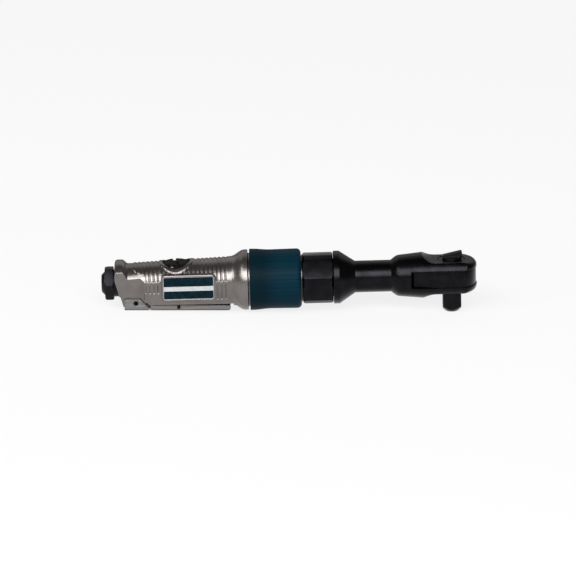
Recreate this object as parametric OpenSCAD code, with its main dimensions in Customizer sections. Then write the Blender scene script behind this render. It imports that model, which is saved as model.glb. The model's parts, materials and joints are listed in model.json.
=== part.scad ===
// Air ratchet with a half inch square drive, in millimetres.
// X runs along the tool from the mouth of the air inlet to the head, Z is up, and the drive points down.

/* [Inlet] */
// Across flats of the inlet hexagon
inlet_af = 21.5; // [20:0.1:23]
// Length of the bushing that shows behind the handle
inlet_len = 9.3; // [8:0.1:11]
// Length of the round boss behind the hexagon
inlet_boss_len = 2.4; // [2:0.1:3]
// Radius of the round boss behind the hexagon
inlet_boss_r = 7.9; // [7.6:0.1:8.6]
// Length of the round collar that shows in front of the hexagon
collar_show = 0.9; // [0.8:0.1:1.6]
// Wall radius of the threaded air port
port_r = 5.6; // [5:0.1:6]
// Depth of the threaded air port
port_depth = 12; // [9:0.1:14]
// Radius of the spigot that screws into the handle
spigot_r = 8.2; // [7.4:0.1:8.6]
// Length of the spigot inside the handle
spigot_len = 12; // [10:0.1:13]

/* [Handle] */
// Length of the handle, from its rear face to the front of its flange
handle_len = 91.9; // [88:0.1:98]
// Radius of the rolled lip at the rear
lip_r = 16.2; // [15.4:0.1:17]
// Radius of the grip at its rear end
grip_rear_r = 13.9; // [13.6:0.1:14.4]
// Radius of the grip at its front end
grip_front_r = 16.5; // [16:0.1:17]
// Length of the flare that leads to the flange
flare_len = 10; // [8:0.1:12]
// Radius of the flange in front of the flare
flange_r = 20.9; // [20:0.1:22]
// Half width over the flat cheeks of the rear block
cheek_half = 12.3; // [12:0.1:12.8]
// Depth of the milled underside below the tool's axis
underside_z = 12.5; // [12:0.1:13]
// Depth of the upright flanks, cut into the round of the grip
flank_cut = 0.3; // [0.2:0.05:0.5]
// Height of the ribbed skin over the plain rear of the grip
skin_t = 0.4; // [0.3:0.05:0.6]
// Angle of the rear face's lower part, nose down
rear_slope = 15; // [12:0.5:16]
// Distance between two grip ribs
rib_pitch = 2.91; // [2.6:0.01:3.2]
// Depth of the grooves between the ribs
rib_depth = 0.5; // [0.3:0.05:0.7]
// Width of a groove at the surface
rib_groove = 1.3; // [0.8:0.1:1.6]

/* [Label pad] */
// Length of the label plate
label_len = 35; // [32:0.1:36]
// Height of the label plate
label_h = 16.2; // [14:0.1:17]
// Thickness of the label plate
label_t = 0.5; // [0.3:0.1:0.7]
// Width of the frame around the label plate
label_rim = 1; // [0.8:0.1:1.5]
// Half width of the handle over its two label pads
pad_half = 15.8; // [15.6:0.1:16.2]
// Height of the label's centre over the tool's axis
pad_z = -0.5; // [-1.5:0.1:0]
// Distance from the handle's rear face to the label's middle
pad_at = 50.9; // [50:0.1:52]

/* [Throttle] */
// Distance from the handle's rear face to the lever pin
pin_at = 14.1; // [13.5:0.1:15]
// Depth of the lever pin below the tool's axis
pin_z = 12.7; // [12.4:0.1:13]
// Radius of the lever pin
pin_r = 1.7; // [1.2:0.1:1.8]
// Distance from the lever's front end to the front of the handle's flange
lever_back = 12.3; // [12:0.1:16]
// Width of the lever over its flanges
lever_w = 17; // [15:0.1:19]
// Sheet thickness of the lever
lever_t = 1.5; // [1:0.1:1.8]
// Depth of the lever's underside below its pin
lever_drop = 5.4; // [5.2:0.05:5.8]
// Height of the flanges along the lever
lever_flange = 4; // [3:0.1:4.4]
// Slope of the lever, nose down
lever_slope = 1.6; // [1:0.1:2]
// Distance from the handle's rear face to the throttle valve's axis
valve_at = 42.7; // [41:0.1:43.5]
// Radius of the valve stem
stem_r = 1.7; // [1.3:0.1:2]
// Radius of the regulator dial
dial_r = 9.7; // [9.2:0.1:9.9]
// Height of the dial's face over the tool's axis
dial_top = 14.1; // [13.8:0.1:14.6]
// Thickness of the dial
dial_t = 4.1; // [3.8:0.1:4.3]
// Width of the slot across the dial
dial_slot = 2.4; // [1.6:0.1:3]
// Radius of the regulator barrel under the dial
barrel_r = 7.4; // [7:0.1:7.8]

/* [Sleeve and nut] */
// Length of the rubber sleeve
sleeve_len = 35.6; // [34:0.1:38]
// Radius of the sleeve at its rear edge
sleeve_rear_r = 21.2; // [20.5:0.1:22]
// Radius of the sleeve at its waist
sleeve_waist_r = 20.4; // [20:0.1:21]
// Wall of the sleeve at its waist
sleeve_wall = 1.9; // [1.5:0.1:2.2]
// Length of the coupling nut
nut_len = 21.5; // [19:0.1:23]
// Across flats of the coupling nut
nut_af = 33.4; // [33:0.1:35]
// Across the truncated corners of the coupling nut
nut_corner = 35.6; // [35:0.1:37]
// Radius of the thread under the nut
thread_r = 15.6; // [15.2:0.1:15.8]
// Gap that shows between the outer pieces
show_gap = 0.6; // [0.3:0.1:1]

/* [Motor] */
// Radius of the straight bore that holds the motor and the gears
bore_r = 13.2; // [13:0.1:13.6]
// Distance from the handle's rear face to the bottom of that bore
bore_at = 54.7; // [54:0.1:56]
// Thickness of each end plate
plate_t = 6; // [5.6:0.1:6.6]
// Length of the motor cylinder
liner_len = 34; // [30:0.1:36]
// Radius of the chamber in the motor cylinder
chamber_r = 10.9; // [10.8:0.1:11.2]
// Offset of the chamber below the rotor's axis
chamber_offset = 0.9; // [0.7:0.1:1]
// Radius of the rotor
rotor_r = 9.8; // [9:0.1:9.8]
// Number of rotor vanes
vane_count = 5; // [4:1:6]
// Thickness of a vane
vane_t = 1.6; // [1.2:0.1:2]
// Radius of the rotor's journals
journal_r = 3.6; // [3.5:0.05:3.8]
// Outer radius of the ball bearings
bearing_r = 8.5; // [8.2:0.1:9]
// Width of the ball bearings
bearing_w = 5; // [4:0.1:5.2]
// Radius of a bearing ball
bearing_ball_r = 1.3; // [1.1:0.05:1.4]
// Balls in one bearing
bearing_balls = 8; // [6:1:9]

/* [Gears] */
// Module of the gear teeth
gear_module = 0.5; // [0.48:0.01:0.51]
// Face width of the planet gears
planet_len = 7.5; // [6:0.1:8.5]
// Length of the ring gear
ring_len = 15.6; // [15.4:0.1:18]
// Radius of the planet pins
planet_pin_r = 1.2; // [1:0.1:1.4]
// Thickness of the planet carrier
carrier_t = 5; // [4:0.1:5.2]
// Side clearance on each gear tooth
gear_backlash = 0.06; // [0.05:0.01:0.08]

/* [Crank] */
// Radius of the crank's rear journal
crank_rear_r = 7; // [6.5:0.1:7.5]
// Radius of the crank's front journal
crank_front_r = 5.5; // [5:0.1:6]
// Radius of the shaft between the journals
crank_shaft_r = 4.8; // [4.2:0.1:5]
// Radius of the crank pin
crank_pin_r = 2.4; // [2:0.1:2.6]
// Offset of the crank pin from the axis
crank_throw = 2.2; // [1.8:0.1:2.3]
// Outer radius of the bush on the crank pin
crank_bush_r = 3.5; // [3.2:0.1:3.6]

/* [Head] */
// Width of the flange behind the cone
head_flange_w = 4.1; // [3:0.1:5]
// Radius of that flange
head_flange_r = 18.3; // [17.5:0.1:19]
// Length of the cone between flange and neck
cone_len = 11; // [9:0.1:13]
// Length of the neck
neck_len = 24.7; // [23:0.1:30]
// Radius of the neck
neck_r = 11; // [10.6:0.1:11.8]
// Distance from the end of the neck to the drive axis
head_reach = 41.9; // [41.4:0.1:44]
// Radius of the head where it meets the neck
head_rear_r = 14.4; // [14:0.1:15]
// Radius of the head beside the drive
head_r = 15.9; // [15.6:0.1:16.6]
// Half thickness of the head over its two flats
flat_z = 11.1; // [10.8:0.1:11.6]
// Half height of the slot for the yoke
slot_z = 5.95; // [5.6:0.05:6]
// Radius of the nose around the drive axis
nose_r = 17.5; // [17:0.1:18.5]

/* [Ratchet] */
// Radius of the yoke around the drive axis
yoke_r = 17; // [16.4:0.1:17.2]
// Half width of the yoke over its flat sides
yoke_half = 14.6; // [14.2:0.1:14.8]
// Number of teeth in the yoke
yoke_teeth = 48; // [48:12:60]
// Radius at the tips of the yoke teeth
yoke_tip_r = 11.1; // [11:0.05:11.3]
// Depth of the yoke teeth
yoke_tooth = 0.8; // [0.7:0.05:0.9]
// Radius of the anvil drum
drum_r = 10.7; // [10.4:0.05:10.75]
// Radius of the anvil's upper journal
upper_r = 9.15; // [8.9:0.05:9.3]
// Width across the square drive
drive_sq = 12.7; // [12.7:0.1:12.7]
// Reach of the square drive below the head
drive_len = 14.7; // [13:0.1:15.5]
// Radius of the socket retaining ball
ball_r = 2; // [1.6:0.1:2.2]
// How far the ball stands out of its face
ball_proud = 0.9; // [0.6:0.1:1]
// Angle that the pawl rocks from its middle to a tooth
pawl_rock = 10; // [9.5:0.5:10.5]
// Radius of the reverse lever's base
reverse_r = 6.1; // [5.6:0.1:6.4]
// Length of the thumb bar on the reverse lever
bar_len = 13.6; // [12:0.1:14]
// How far the thumb bar stands forward of its axis
bar_ahead = 0.7; // [0.4:0.1:0.8]
// Width of the thumb bar
bar_w = 5; // [4:0.1:6]

/* [Fits] */
// Clearance of pieces that are pressed or screwed together
seat_clear = 0.05; // [0.03:0.01:0.08]
// Radial clearance of shafts and pins that turn
run_clear = 0.05; // [0.03:0.01:0.1]
// Gap between pieces that move past each other
free_gap = 0.3; // [0.25:0.01:0.35]

/* [Hidden] */
$fn = 72;
// A length that carries a cut past the face it starts from
past = 1;
// Half size of a cut that is wider than the whole tool
wide = 30;

// Stations along the tool
handle_x0 = inlet_len;
handle_x1 = handle_x0 + handle_len;
sleeve_x0 = handle_x1 + 2 * show_gap;
sleeve_x1 = sleeve_x0 + sleeve_len;
nut_x0 = sleeve_x1 + show_gap / 2;
nut_x1 = nut_x0 + nut_len;
head_x0 = nut_x1 + show_gap / 2;
cone_x0 = head_x0 + head_flange_w;
neck_x0 = cone_x0 + cone_len;
neck_x1 = neck_x0 + neck_len;
drive_x = neck_x1 + head_reach;

// Handle
lip_x1 = handle_x0 + 5.3;
grip_x0 = handle_x0 + 9.3;
flange_w = 2.2;
grip_x1 = handle_x1 - flange_w - flare_len;
barrel_out_r = sleeve_waist_r - sleeve_wall - seat_clear;
barrel_x1 = sleeve_x1 - sleeve_wall;
thread_x1 = nut_x0 + 0.6 * nut_len;
cheek_x1 = handle_x0 + 20.7;
skin_x0 = cheek_x1 - 8.2;
skin_x1 = cheek_x1 + 1;
flank_x1 = handle_x1 - flange_w - 1;
rear_slope_z = 4.5;
belly_z = underside_z + 1.8;
belly_corner = 28.1;
lug_half = lever_w / 2 - lever_t - free_gap / 2;
pin_x = handle_x0 + pin_at;
pocket_top = 7.05;
pocket_x1 = pin_x + 2.8;
pocket_x2 = pin_x + 9.8;
lever_len = handle_x1 - lever_back - pin_x;
lug_drop = lever_drop - lever_t - 0.9;
lug_x0 = pin_x - 9;
lug_x1 = pin_x + 7;

// Label pad, on both sides of the handle
label_x = handle_x0 + pad_at;
pad_len = label_len + 2 * label_rim;
pad_h = label_h + 2 * label_rim;

// Grip ribs
rib_x0 = handle_x0 + 11.1;
rib_count = floor((grip_x1 - rib_x0) / rib_pitch);
rib_side_low = -9;
flank_top = 2.6;
rib_strip = 0.95;
rib_rear_low = -4.4;
rim_r = dial_r + 2.4;
rim_proud = 0.35;

// Throttle valve and regulator, on one upright axis
valve_x = handle_x0 + valve_at;
barrel_bore_r = barrel_r + run_clear;
seat_z0 = -3;
seat_z1 = -0.2;
seat_hole_r = stem_r + 1.5;
poppet_r = 4.4;
poppet_z0 = seat_z1 + 0.1;
poppet_z1 = poppet_z0 + 2;
stem_head_z1 = poppet_z1 + 1;
barrel_z0 = seat_z1 + free_gap;
barrel_z1 = dial_top - dial_t;
barrel_wall = 2.4;
barrel_roof = 0.6;
guide_r = stem_r + 1.7;
guide_z1 = -8;
stem_foot = -pin_z - lever_drop + lever_t - (valve_x - pin_x) * tan(lever_slope) + 0.25;
air_in_z = 4;
air_in_r = 3;
air_out_z = -5.4;
air_out_r = 2.4;
ring_groove_z = barrel_z1 - 2.2;
seal_r = 0.7;
seal_mid = barrel_r - seal_r + run_clear / 2;
clip_r = 0.4;
clip_z = barrel_z1 + 0.75;
spring_wire_r = 0.35;
spring_mid_r = 3.2;

// Inlet
spigot_x1 = handle_x0 + spigot_len;
inlet_hole_r = port_r - 1.8;
inlet_seal_r = 0.55;
inlet_seal_mid = spigot_r + seat_clear + inlet_seal_r;
collar_r_in = inlet_seal_mid + inlet_seal_r;
hex_x1 = inlet_len - collar_show;
collar_x1 = handle_x0 + 4.2;
screen_t = 0.8;
screen_x0 = spigot_x1 + 0.1;
chamber_x1 = screen_x0 + screen_t + 3;
screen_r = 6;

// Motor stack, from the bottom of the bore forwards
bore_x0 = handle_x0 + bore_at;
stack_r = bore_r - seat_clear;
rear_plate_x0 = bore_x0 + seat_clear;
rear_plate_x1 = rear_plate_x0 + plate_t;
liner_x0 = rear_plate_x1 + seat_clear;
liner_x1 = liner_x0 + liner_len;
front_plate_x0 = liner_x1 + seat_clear;
front_plate_x1 = front_plate_x0 + plate_t;
ring_x0 = front_plate_x1 + seat_clear;
ring_x1 = ring_x0 + ring_len;
spigot_head_x0 = ring_x1 + seat_clear;
rotor_x0 = liner_x0 + 0.15;
rotor_x1 = liner_x1 - 0.15;
rear_bearing_x0 = rear_plate_x0 + 0.1;
front_bearing_x0 = front_plate_x1 - bearing_w - 0.1;
inner_race_r = journal_r + run_clear / 2 + 1.05;
outer_race_r = inner_race_r + 2 * bearing_ball_r + 0.06;
ball_circle_r = (inner_race_r + outer_race_r) / 2;
plate_hole_r = inner_race_r + 0.6;
dowel_r = 0.6;
dowel_mid = stack_r - 1.1;
vane_slot = vane_t + 0.1;
vane_root_r = 5;
exhaust_r = 1.5;

// Planetary gears: a 12-tooth sun on the rotor, 15-tooth planets and a fixed 42-tooth ring
sun_teeth = 12;
planet_teeth = 15;
ring_teeth = sun_teeth + 2 * planet_teeth;
planet_count = 3;
pressure = 25;
flank_steps = 4;
sun_phase = 0;
gear_centre = gear_module * (sun_teeth + planet_teeth) / 2;
planet_x0 = ring_x0 + 1.6;
planet_x1 = planet_x0 + planet_len;
carrier_x0 = planet_x1 + free_gap;
carrier_x1 = carrier_x0 + carrier_t;
carrier_r = gear_centre + planet_pin_r + 1.5;
sun_x1 = planet_x1;

// Crank and its bearings in the neck
rear_bush_r = crank_rear_r + 3.4;
neck_bore_r = neck_r - 3.1;
spigot_bore_back = 10;
front_bush_back = 1.4;
front_bush_len = 12;
web_t = 4;
crank_tip_back = 28.4;
spigot_bore_x1 = head_x0 - spigot_bore_back;
rear_bush_x0 = spigot_head_x0 + 0.8;
rear_bush_x1 = spigot_bore_x1 - seat_clear;
front_bush_x1 = neck_x1 - front_bush_back;
front_bush_x0 = front_bush_x1 - front_bush_len;
web_r = crank_throw + crank_pin_r + 2.4;
web_x0 = front_bush_x1 + free_gap;
web_x1 = web_x0 + web_t;
crank_tip_x = drive_x - crank_tip_back;
crank_bush_x0 = web_x1 + 1.2;
crank_bush_x1 = crank_tip_x - 0.4;

// Head
head_spigot_r = stack_r;
nut_lip = 4.7;
nut_lip_x0 = nut_x1 - nut_lip;
captive_x0 = thread_x1 + free_gap;
captive_x1 = nut_lip_x0 - 0.1;
captive_in_r = head_spigot_r - 0.9;
captive_out_r = thread_r - 0.6;
cavity_r = head_rear_r - 2;
cavity_x0 = neck_x1 + 6.5;
slot_x0 = drive_x - 28.2;
flare_x1 = neck_x1 + 6.2;
head_full_x = drive_x - 20.4;
cutter_r = 11.8;
cutter_x = drive_x - 11.1;
nose_round = 4.2;

// Ratchet, with places given from the drive axis
yoke_half_z = slot_z - 0.2;
yoke_root_r = yoke_tip_r + yoke_tooth;
yoke_tail = crank_throw + crank_bush_r + 0.25;
yoke_tail_wall = 2;
yoke_tail_x = drive_x - cavity_x0 - 1;
yoke_neck_x = 26.5;
tooth_pitch = 360 / yoke_teeth;
upper_bore_r = upper_r + 0.1;
ring_chamfer = 0.45;
anvil_top_z = flat_z - 0.2;
lower_bore_r = drum_r + 0.15;
drum_z0 = -flat_z + 2.5;
collar_r = drive_sq * 0.74;
collar_z0 = -flat_z - 0.5;
drive_z0 = -flat_z - drive_len;
drive_corner_r = drive_sq * 0.672;
drive_tip = 1.9;
washer_z0 = drum_z0 - 0.95;
retainer_z0 = washer_z0 - 1.1;
retainer_r = lower_bore_r + 0.7;
pawl_pin_x = 8.2;
pawl_pin_r = 1.1;
pawl_half_z = 4.5;
pawl_room = 0.1;
pocket_back_x = 3.9;
pocket_slope = 14;
pocket_half_y = 9.8;
pawl_back_x = pocket_back_x + 0.35;
pawl_half_y = 6.2;
pawl_core_angle = 33;
pawl_core_r = yoke_tip_r - 0.9;
pawl_tip_r = yoke_tip_r + 0.35;
pawl_from = 29;
pawl_to = 53;
pawl_clear = 0.22;
recess_z = flat_z - 1.2;
reverse_top_z = flat_z + 1.3;
bar_low_z = flat_z + 2.8;
bar_high_z = flat_z + 5.4;
reverse_stem_r = 3;
reverse_stem_z0 = -3.2;
plunger_r = 1.2;
plunger_tip_x = 3.6;
plunger_back_x = 0.7;
plunger_swing_r = plunger_tip_x + 0.5;
plunger_bore_x0 = -1.9;
ball_z = drive_z0 + 6.8;
ball_y = drive_sq / 2 + ball_proud - ball_r;
ball_bore_y = -3;
detent_wire_r = 0.25;

// A point on an S-shaped blend from station and radius a to b
function ease(a, b, steps) = [
    for (i = [0:steps])
        let (t = i / steps)
            [a[0] + (b[0] - a[0]) * t, a[1] + (b[1] - a[1]) * (1 - cos(180 * t)) / 2]
];
// The same blend with its foot left sharp
function swell(a, b, steps) = [
    for (i = [0:steps])
        let (t = i / steps)
            [a[0] + (b[0] - a[0]) * t, a[1] + (b[1] - a[1]) * sin(90 * t)]
];
// Points of an arc
function arc(centre, r, from, to, steps) = [
    for (i = [0:steps])
        let (t = from + (to - from) * i / steps)
            centre + r * [cos(t), sin(t)]
];
function polar(r, t) = r * [cos(t), sin(t)];
// Grip radius at a station
function grip_r(x) = grip_rear_r + (grip_front_r - grip_rear_r) * (x - grip_x0) / (grip_x1 - grip_x0);

// Involute gear outline
function involute(t) = tan(t) * 180 / PI - t;
function half_tooth(teeth, r, side) =
    let (
        pitch_r = gear_module * teeth / 2,
        base_r = pitch_r * cos(pressure),
        t = acos(min(1, base_r / r))
    )
    90 / teeth + side / pitch_r * 180 / PI + involute(pressure) - involute(t);
function gear_outline(teeth, tip, root, side, phase) =
    let (
        pitch_r = gear_module * teeth / 2,
        rs = [for (i = [0:flank_steps]) pitch_r - root + (root + tip) * i / flank_steps]
    )
    [
        for (k = [0:teeth - 1])
            each concat(
                [for (r = rs) polar(r, phase + 360 * k / teeth - half_tooth(teeth, r, side))],
                [for (i = [flank_steps:-1:0])
                    polar(rs[i], phase + 360 * k / teeth + half_tooth(teeth, rs[i], side))]
            )
    ];
gear_tip = 0.8 * gear_module;
gear_root = 1.15 * gear_module;
function planet_angle(i) = 90 + 360 / planet_count * i;
// Turn of a planet that puts a gap of its own over a tooth of the sun
function planet_phase(i) =
    planet_angle(i) + 180 - sun_teeth / planet_teeth * (sun_phase - planet_angle(i)) - 180 / planet_teeth;
ring_phase = planet_angle(0) + planet_teeth / ring_teeth * (planet_phase(0) - planet_angle(0));

// Ring of a sprung wire at turn t along Z
function wire_ring(mid_r, wire_r, t, z) = [
    for (k = [0:5])
        let (r = mid_r + wire_r * cos(60 * k))
            [r * cos(t), r * sin(t), z + wire_r * sin(60 * k)]
];

// Shapes along the tool's axis
module x_cyl(x0, x1, r) {
    translate([x0, 0, 0]) rotate([0, 90, 0]) cylinder(h = x1 - x0, r = r);
}
module x_ring(x0, x1, r_out, r_in) {
    difference() {
        x_cyl(x0, x1, r_out);
        x_cyl(x0 - past, x1 + past, r_in);
    }
}
// Turned solid from a list of station and radius
module x_turned(profile) {
    rotate([0, 90, 0]) rotate_extrude() polygon([for (p = profile) [p[1], p[0]]]);
}
// Outline with Y to the right and Z up, drawn out along X
module x_prism(x0, x1) {
    translate([x0, 0, 0]) rotate([90, 0, 90]) linear_extrude(x1 - x0) children();
}
// Outline with X to the right and Z up, drawn out to both sides of the middle
module y_prism(width) {
    rotate([90, 0, 0]) linear_extrude(width, center = true) children();
}
module y_cyl(x, z, r, width) {
    translate([x, 0, z]) rotate([90, 0, 0]) cylinder(h = width, r = r, center = true);
}
module z_cyl(x, z0, z1, r) {
    translate([x, 0, z0]) cylinder(h = z1 - z0, r = r);
}
module x_torus(x, mid_r, r) {
    translate([x, 0, 0]) rotate([0, 90, 0]) rotate_extrude() translate([mid_r, 0]) circle(r, $fn = 24);
}
module z_torus(x, z, mid_r, r) {
    translate([x, 0, z]) rotate_extrude() translate([mid_r, 0]) circle(r, $fn = 24);
}
module around_x(count, from = 0) {
    for (i = [0:count - 1]) rotate([from + 360 / count * i, 0, 0]) children();
}
module rounded_rect(w, h, r) {
    translate([-w / 2 + r, -h / 2]) square([w - 2 * r, h]);
    translate([-w / 2, -h / 2 + r]) square([w, h - 2 * r]);
    for (sx = [-1, 1], sy = [-1, 1]) translate([sx * (w / 2 - r), sy * (h / 2 - r)]) circle(r);
}
// Helical spring standing on z0
module coil_spring(mid_r, wire_r, z0, z1, turns) {
    rings_per_turn = 12;
    rings = turns * rings_per_turn;
    rise = (z1 - z0 - 2 * wire_r) / rings;
    points = [
        for (i = [0:rings])
            each wire_ring(mid_r, wire_r, 360 * i / rings_per_turn, z0 + wire_r + rise * i)
    ];
    sides = [
        for (i = [0:rings - 1], k = [0:5])
            let (a = 6 * i + k, b = 6 * i + (k + 1) % 6)
                each [[a, b, b + 6], [a, b + 6, a + 6]]
    ];
    last = 6 * rings;
    caps = [
        for (k = [1:4])
            each [[0, k + 1, k], [last, last + k, last + k + 1]]
    ];
    polyhedron(points, concat(sides, caps));
}

// Handle
module handle_blank() {
    flare_x1 = handle_x1 - flange_w;
    x_turned(concat(
        [[handle_x0, 0], [handle_x0, lip_r - 2]],
        arc([handle_x0 + 2, lip_r - 2], 2, 180, 90, 4),
        ease([lip_x1, lip_r], [grip_x0, grip_rear_r - skin_t], 6),
        [[skin_x1, grip_r(skin_x1) - skin_t], [skin_x1, grip_r(skin_x1)]],
        ease([grip_x1, grip_front_r], [flare_x1, flange_r], 8),
        [[handle_x1, flange_r], [handle_x1, barrel_out_r], [barrel_x1, barrel_out_r],
            [barrel_x1, thread_r], [thread_x1, thread_r], [thread_x1, 0]]
    ));
}
// Ribbed skin of the grip, with the curved edge at its rear
module grip_skin() {
    intersection() {
        x_turned([
            [skin_x0, 0], [skin_x0, grip_r(skin_x0)], [skin_x1 + past, grip_r(skin_x1)], [skin_x1 + past, 0]
        ]);
        y_prism(2 * wide) polygon([
            [skin_x0, wide], [skin_x0, 12], [skin_x0 + 2.7, 9.9], [skin_x0 + 6.4, 8.6],
            [skin_x1 - 0.6, 7.2], [skin_x1 + past, 5.8], [skin_x1 + past, wide]
        ]);
    }
}
// Smooth raised ring around the dial
module dial_rim() {
    intersection() {
        z_cyl(valve_x, 0, lip_r + 4, rim_r);
        x_turned([
            [grip_x0, 0], [grip_x0, grip_rear_r + rim_proud],
            [grip_x1, grip_front_r + rim_proud], [grip_x1, 0]
        ]);
    }
}
// Flat cheeks of the rear block, with a sloped wall at their front end
module cheek_cuts() {
    wall_len = 1.9;
    wall_h = 1.7;
    intersection() {
        y_prism(2 * wide) polygon([
            [handle_x0 - past, -20], [cheek_x1, -20], [cheek_x1, 3],
            [cheek_x1 - 8, 11], [handle_x0 - past, 20]
        ]);
        for (side = [-1, 1])
            translate([0, 0, -wide]) linear_extrude(2 * wide) polygon([
                [handle_x0 - past, side * cheek_half], [cheek_x1 - wall_len, side * cheek_half],
                [cheek_x1, side * (cheek_half + wall_h)], [cheek_x1, side * wide],
                [handle_x0 - past, side * wide]
            ]);
    }
}
// Grooves between the grip ribs, with a smooth ring left around the dial
module rib_grooves() {
    difference() {
        for (i = [0:rib_count - 1]) {
            x = rib_x0 + rib_pitch * (i + 0.5);
            r = grip_r(x);
            beside_rear = x > cheek_x1 && x < label_x - pad_len / 2;
            beside_front = x > label_x + pad_len / 2;
            low = beside_rear ? rib_rear_low : beside_front ? rib_side_low : pad_z + pad_h / 2 + 0.6;
            flank = grip_r(x) - flank_cut - rib_depth;
            intersection() {
                x_turned([
                    [x - rib_groove / 2, r + past], [x - rib_groove / 2, r],
                    [x - rib_groove / 4, r - rib_depth], [x + rib_groove / 4, r - rib_depth],
                    [x + rib_groove / 2, r], [x + rib_groove / 2, r + past]
                ]);
                translate([x - rib_pitch / 2, -wide, max(low, flank_top + rib_strip)])
                    cube([rib_pitch, 2 * wide, wide]);
            }
            if (low < 0)
                beside(flank, 4) translate([x - rib_groove / 2, low])
                    square([rib_groove, flank_top - rib_strip - low]);
        }
        z_cyl(valve_x, 0, lip_r + 4, rim_r);
    }
}
// Plan of the grip between its two upright flanks
module flank_plan(x1) {
    rear = grip_r(cheek_x1) - flank_cut;
    front = grip_r(x1) - flank_cut;
    polygon([[cheek_x1, -rear], [x1, -front], [x1, front], [cheek_x1, rear]]);
}
module belly() {
    intersection() {
        translate([0, 0, -belly_z]) linear_extrude(belly_z) flank_plan(flank_x1);
        x_prism(cheek_x1, flank_x1) polygon([[-belly_corner, 0], [0, -belly_corner], [belly_corner, 0]]);
    }
}
module label_pads() {
    translate([label_x, 0, pad_z]) y_prism(2 * pad_half) rounded_rect(pad_len, pad_h, 2.4);
}
module beside(half, depth) {
    for (side = [-1, 1]) translate([0, side * (half + depth / 2), 0]) y_prism(depth) children();
}
module handle_air_ways() {
    x_cyl(handle_x0 - past, spigot_x1, spigot_r + seat_clear);
    x_cyl(handle_x0 - past, collar_x1 + 2 * inlet_seal_r, collar_r_in + seat_clear);
    x_cyl(spigot_x1 - past, chamber_x1, screen_r + seat_clear);
    translate([0, 0, air_in_z]) x_cyl(chamber_x1 - past, valve_x, air_in_r);
    translate([0, 0, air_out_z]) x_cyl(valve_x, bore_x0 + past, air_out_r);
    z_cyl(valve_x, barrel_z1 - 0.1, lip_r + 4, dial_r + run_clear);
    z_cyl(valve_x, seat_z0, barrel_z1, barrel_bore_r);
    z_cyl(valve_x, -lip_r, seat_z0 + past, guide_r + seat_clear);
    z_torus(valve_x, clip_z, dial_r + run_clear, clip_r + seat_clear);
}
module handle_housing() {
    color("silver") difference() {
        union() {
            difference() {
                union() {
                    handle_blank();
                    grip_skin();
                    dial_rim();
                    belly();
                }
                translate([0, 0, -wide]) linear_extrude(wide + flank_top + past) difference() {
                    translate([cheek_x1, -wide]) square([grip_x1 - cheek_x1, 2 * wide]);
                    flank_plan(grip_x1);
                }
                rib_grooves();
                beside(pad_half, 6) translate([label_x, pad_z]) square([pad_len, pad_h], center = true);
                cheek_cuts();
                translate([pocket_x1, -wide, -underside_z - wide])
                    cube([grip_x1 + 2 - pocket_x1, 2 * wide, wide]);
            }
            label_pads();
            translate([lug_x0, -lug_half, -pin_z - lug_drop])
                cube([lug_x1 - lug_x0, 2 * lug_half, lug_drop + 4]);
        }
        beside(lug_half, 14) polygon([
            [handle_x0 - past, -pocket_top], [pocket_x1, -pocket_top], [pocket_x2, -underside_z],
            [pocket_x2, -22], [handle_x0 - past, -22]
        ]);
        translate([handle_x0, 0, rear_slope_z]) rotate([0, -rear_slope, 0])
            translate([-12, -wide, -wide]) cube([12, 2 * wide, wide]);
        translate([label_x, 0, pad_z]) for (side = [-1, 1])
            translate([0, side * (pad_half - label_t / 2 + past / 2), 0])
                y_prism(label_t + past) rounded_rect(label_len + 0.1, label_h + 0.1, 1.5);
        handle_air_ways();
        x_cyl(bore_x0, thread_x1 + past, bore_r);
        around_x(6, 30) translate([front_plate_x1 + 3, 0, bore_r - past])
            cylinder(h = barrel_out_r - bore_r + 3, r = exhaust_r);
        y_cyl(pin_x, -pin_z, pin_r + seat_clear, 4 * lug_half);
    }
}
module label_plate() {
    color("darkslategray") translate([label_x, -pad_half + label_t / 2, pad_z])
        y_prism(label_t) rounded_rect(label_len, label_h, 1.45);
}

// Sleeve and nut
module exhaust_sleeve() {
    corner = 3;
    front_r = sleeve_waist_r + 0.2;
    color("darkslategray") x_turned(concat(
        [[sleeve_x0, barrel_out_r + seat_clear]],
        [[sleeve_x0, sleeve_rear_r]],
        ease([sleeve_x0 + 1.5, sleeve_rear_r], [sleeve_x0 + 0.4 * sleeve_len, sleeve_waist_r], 6),
        arc([sleeve_x1 - corner, front_r - corner], corner, 90, 0, 6),
        [[sleeve_x1, thread_r + 0.8], [barrel_x1 + seat_clear, thread_r + 0.8],
            [barrel_x1 + seat_clear, barrel_out_r + seat_clear]]
    ));
}
module nut_outline() {
    rotate(-6) intersection() {
        circle(nut_af / 2 / cos(30), $fn = 6);
        rotate(30) circle(nut_corner / 2 / cos(30), $fn = 6);
    }
}
module coupling_nut() {
    chamfer = 1.2;
    shoulder = 0.9;
    edge_r = nut_corner / 2 + 0.4;
    flats_x0 = nut_x0 + shoulder;
    color("black") difference() {
        intersection() {
            x_prism(nut_x0, nut_x1) nut_outline();
            x_turned([
                [nut_x0, 0], [nut_x0, nut_af / 2 - 0.3], [flats_x0, nut_af / 2 - 0.3],
                [flats_x0, edge_r - chamfer], [flats_x0 + chamfer, edge_r],
                [nut_x1 - chamfer, edge_r], [nut_x1, edge_r - chamfer], [nut_x1, 0]
            ]);
        }
        x_cyl(nut_x0 - past, nut_lip_x0, thread_r + seat_clear);
        x_cyl(nut_x0, nut_x1 + past, head_spigot_r + 2 * seat_clear);
    }
}
module captive_ring() {
    color("gray") x_ring(captive_x0, captive_x1, captive_out_r, captive_in_r + seat_clear);
}

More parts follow.
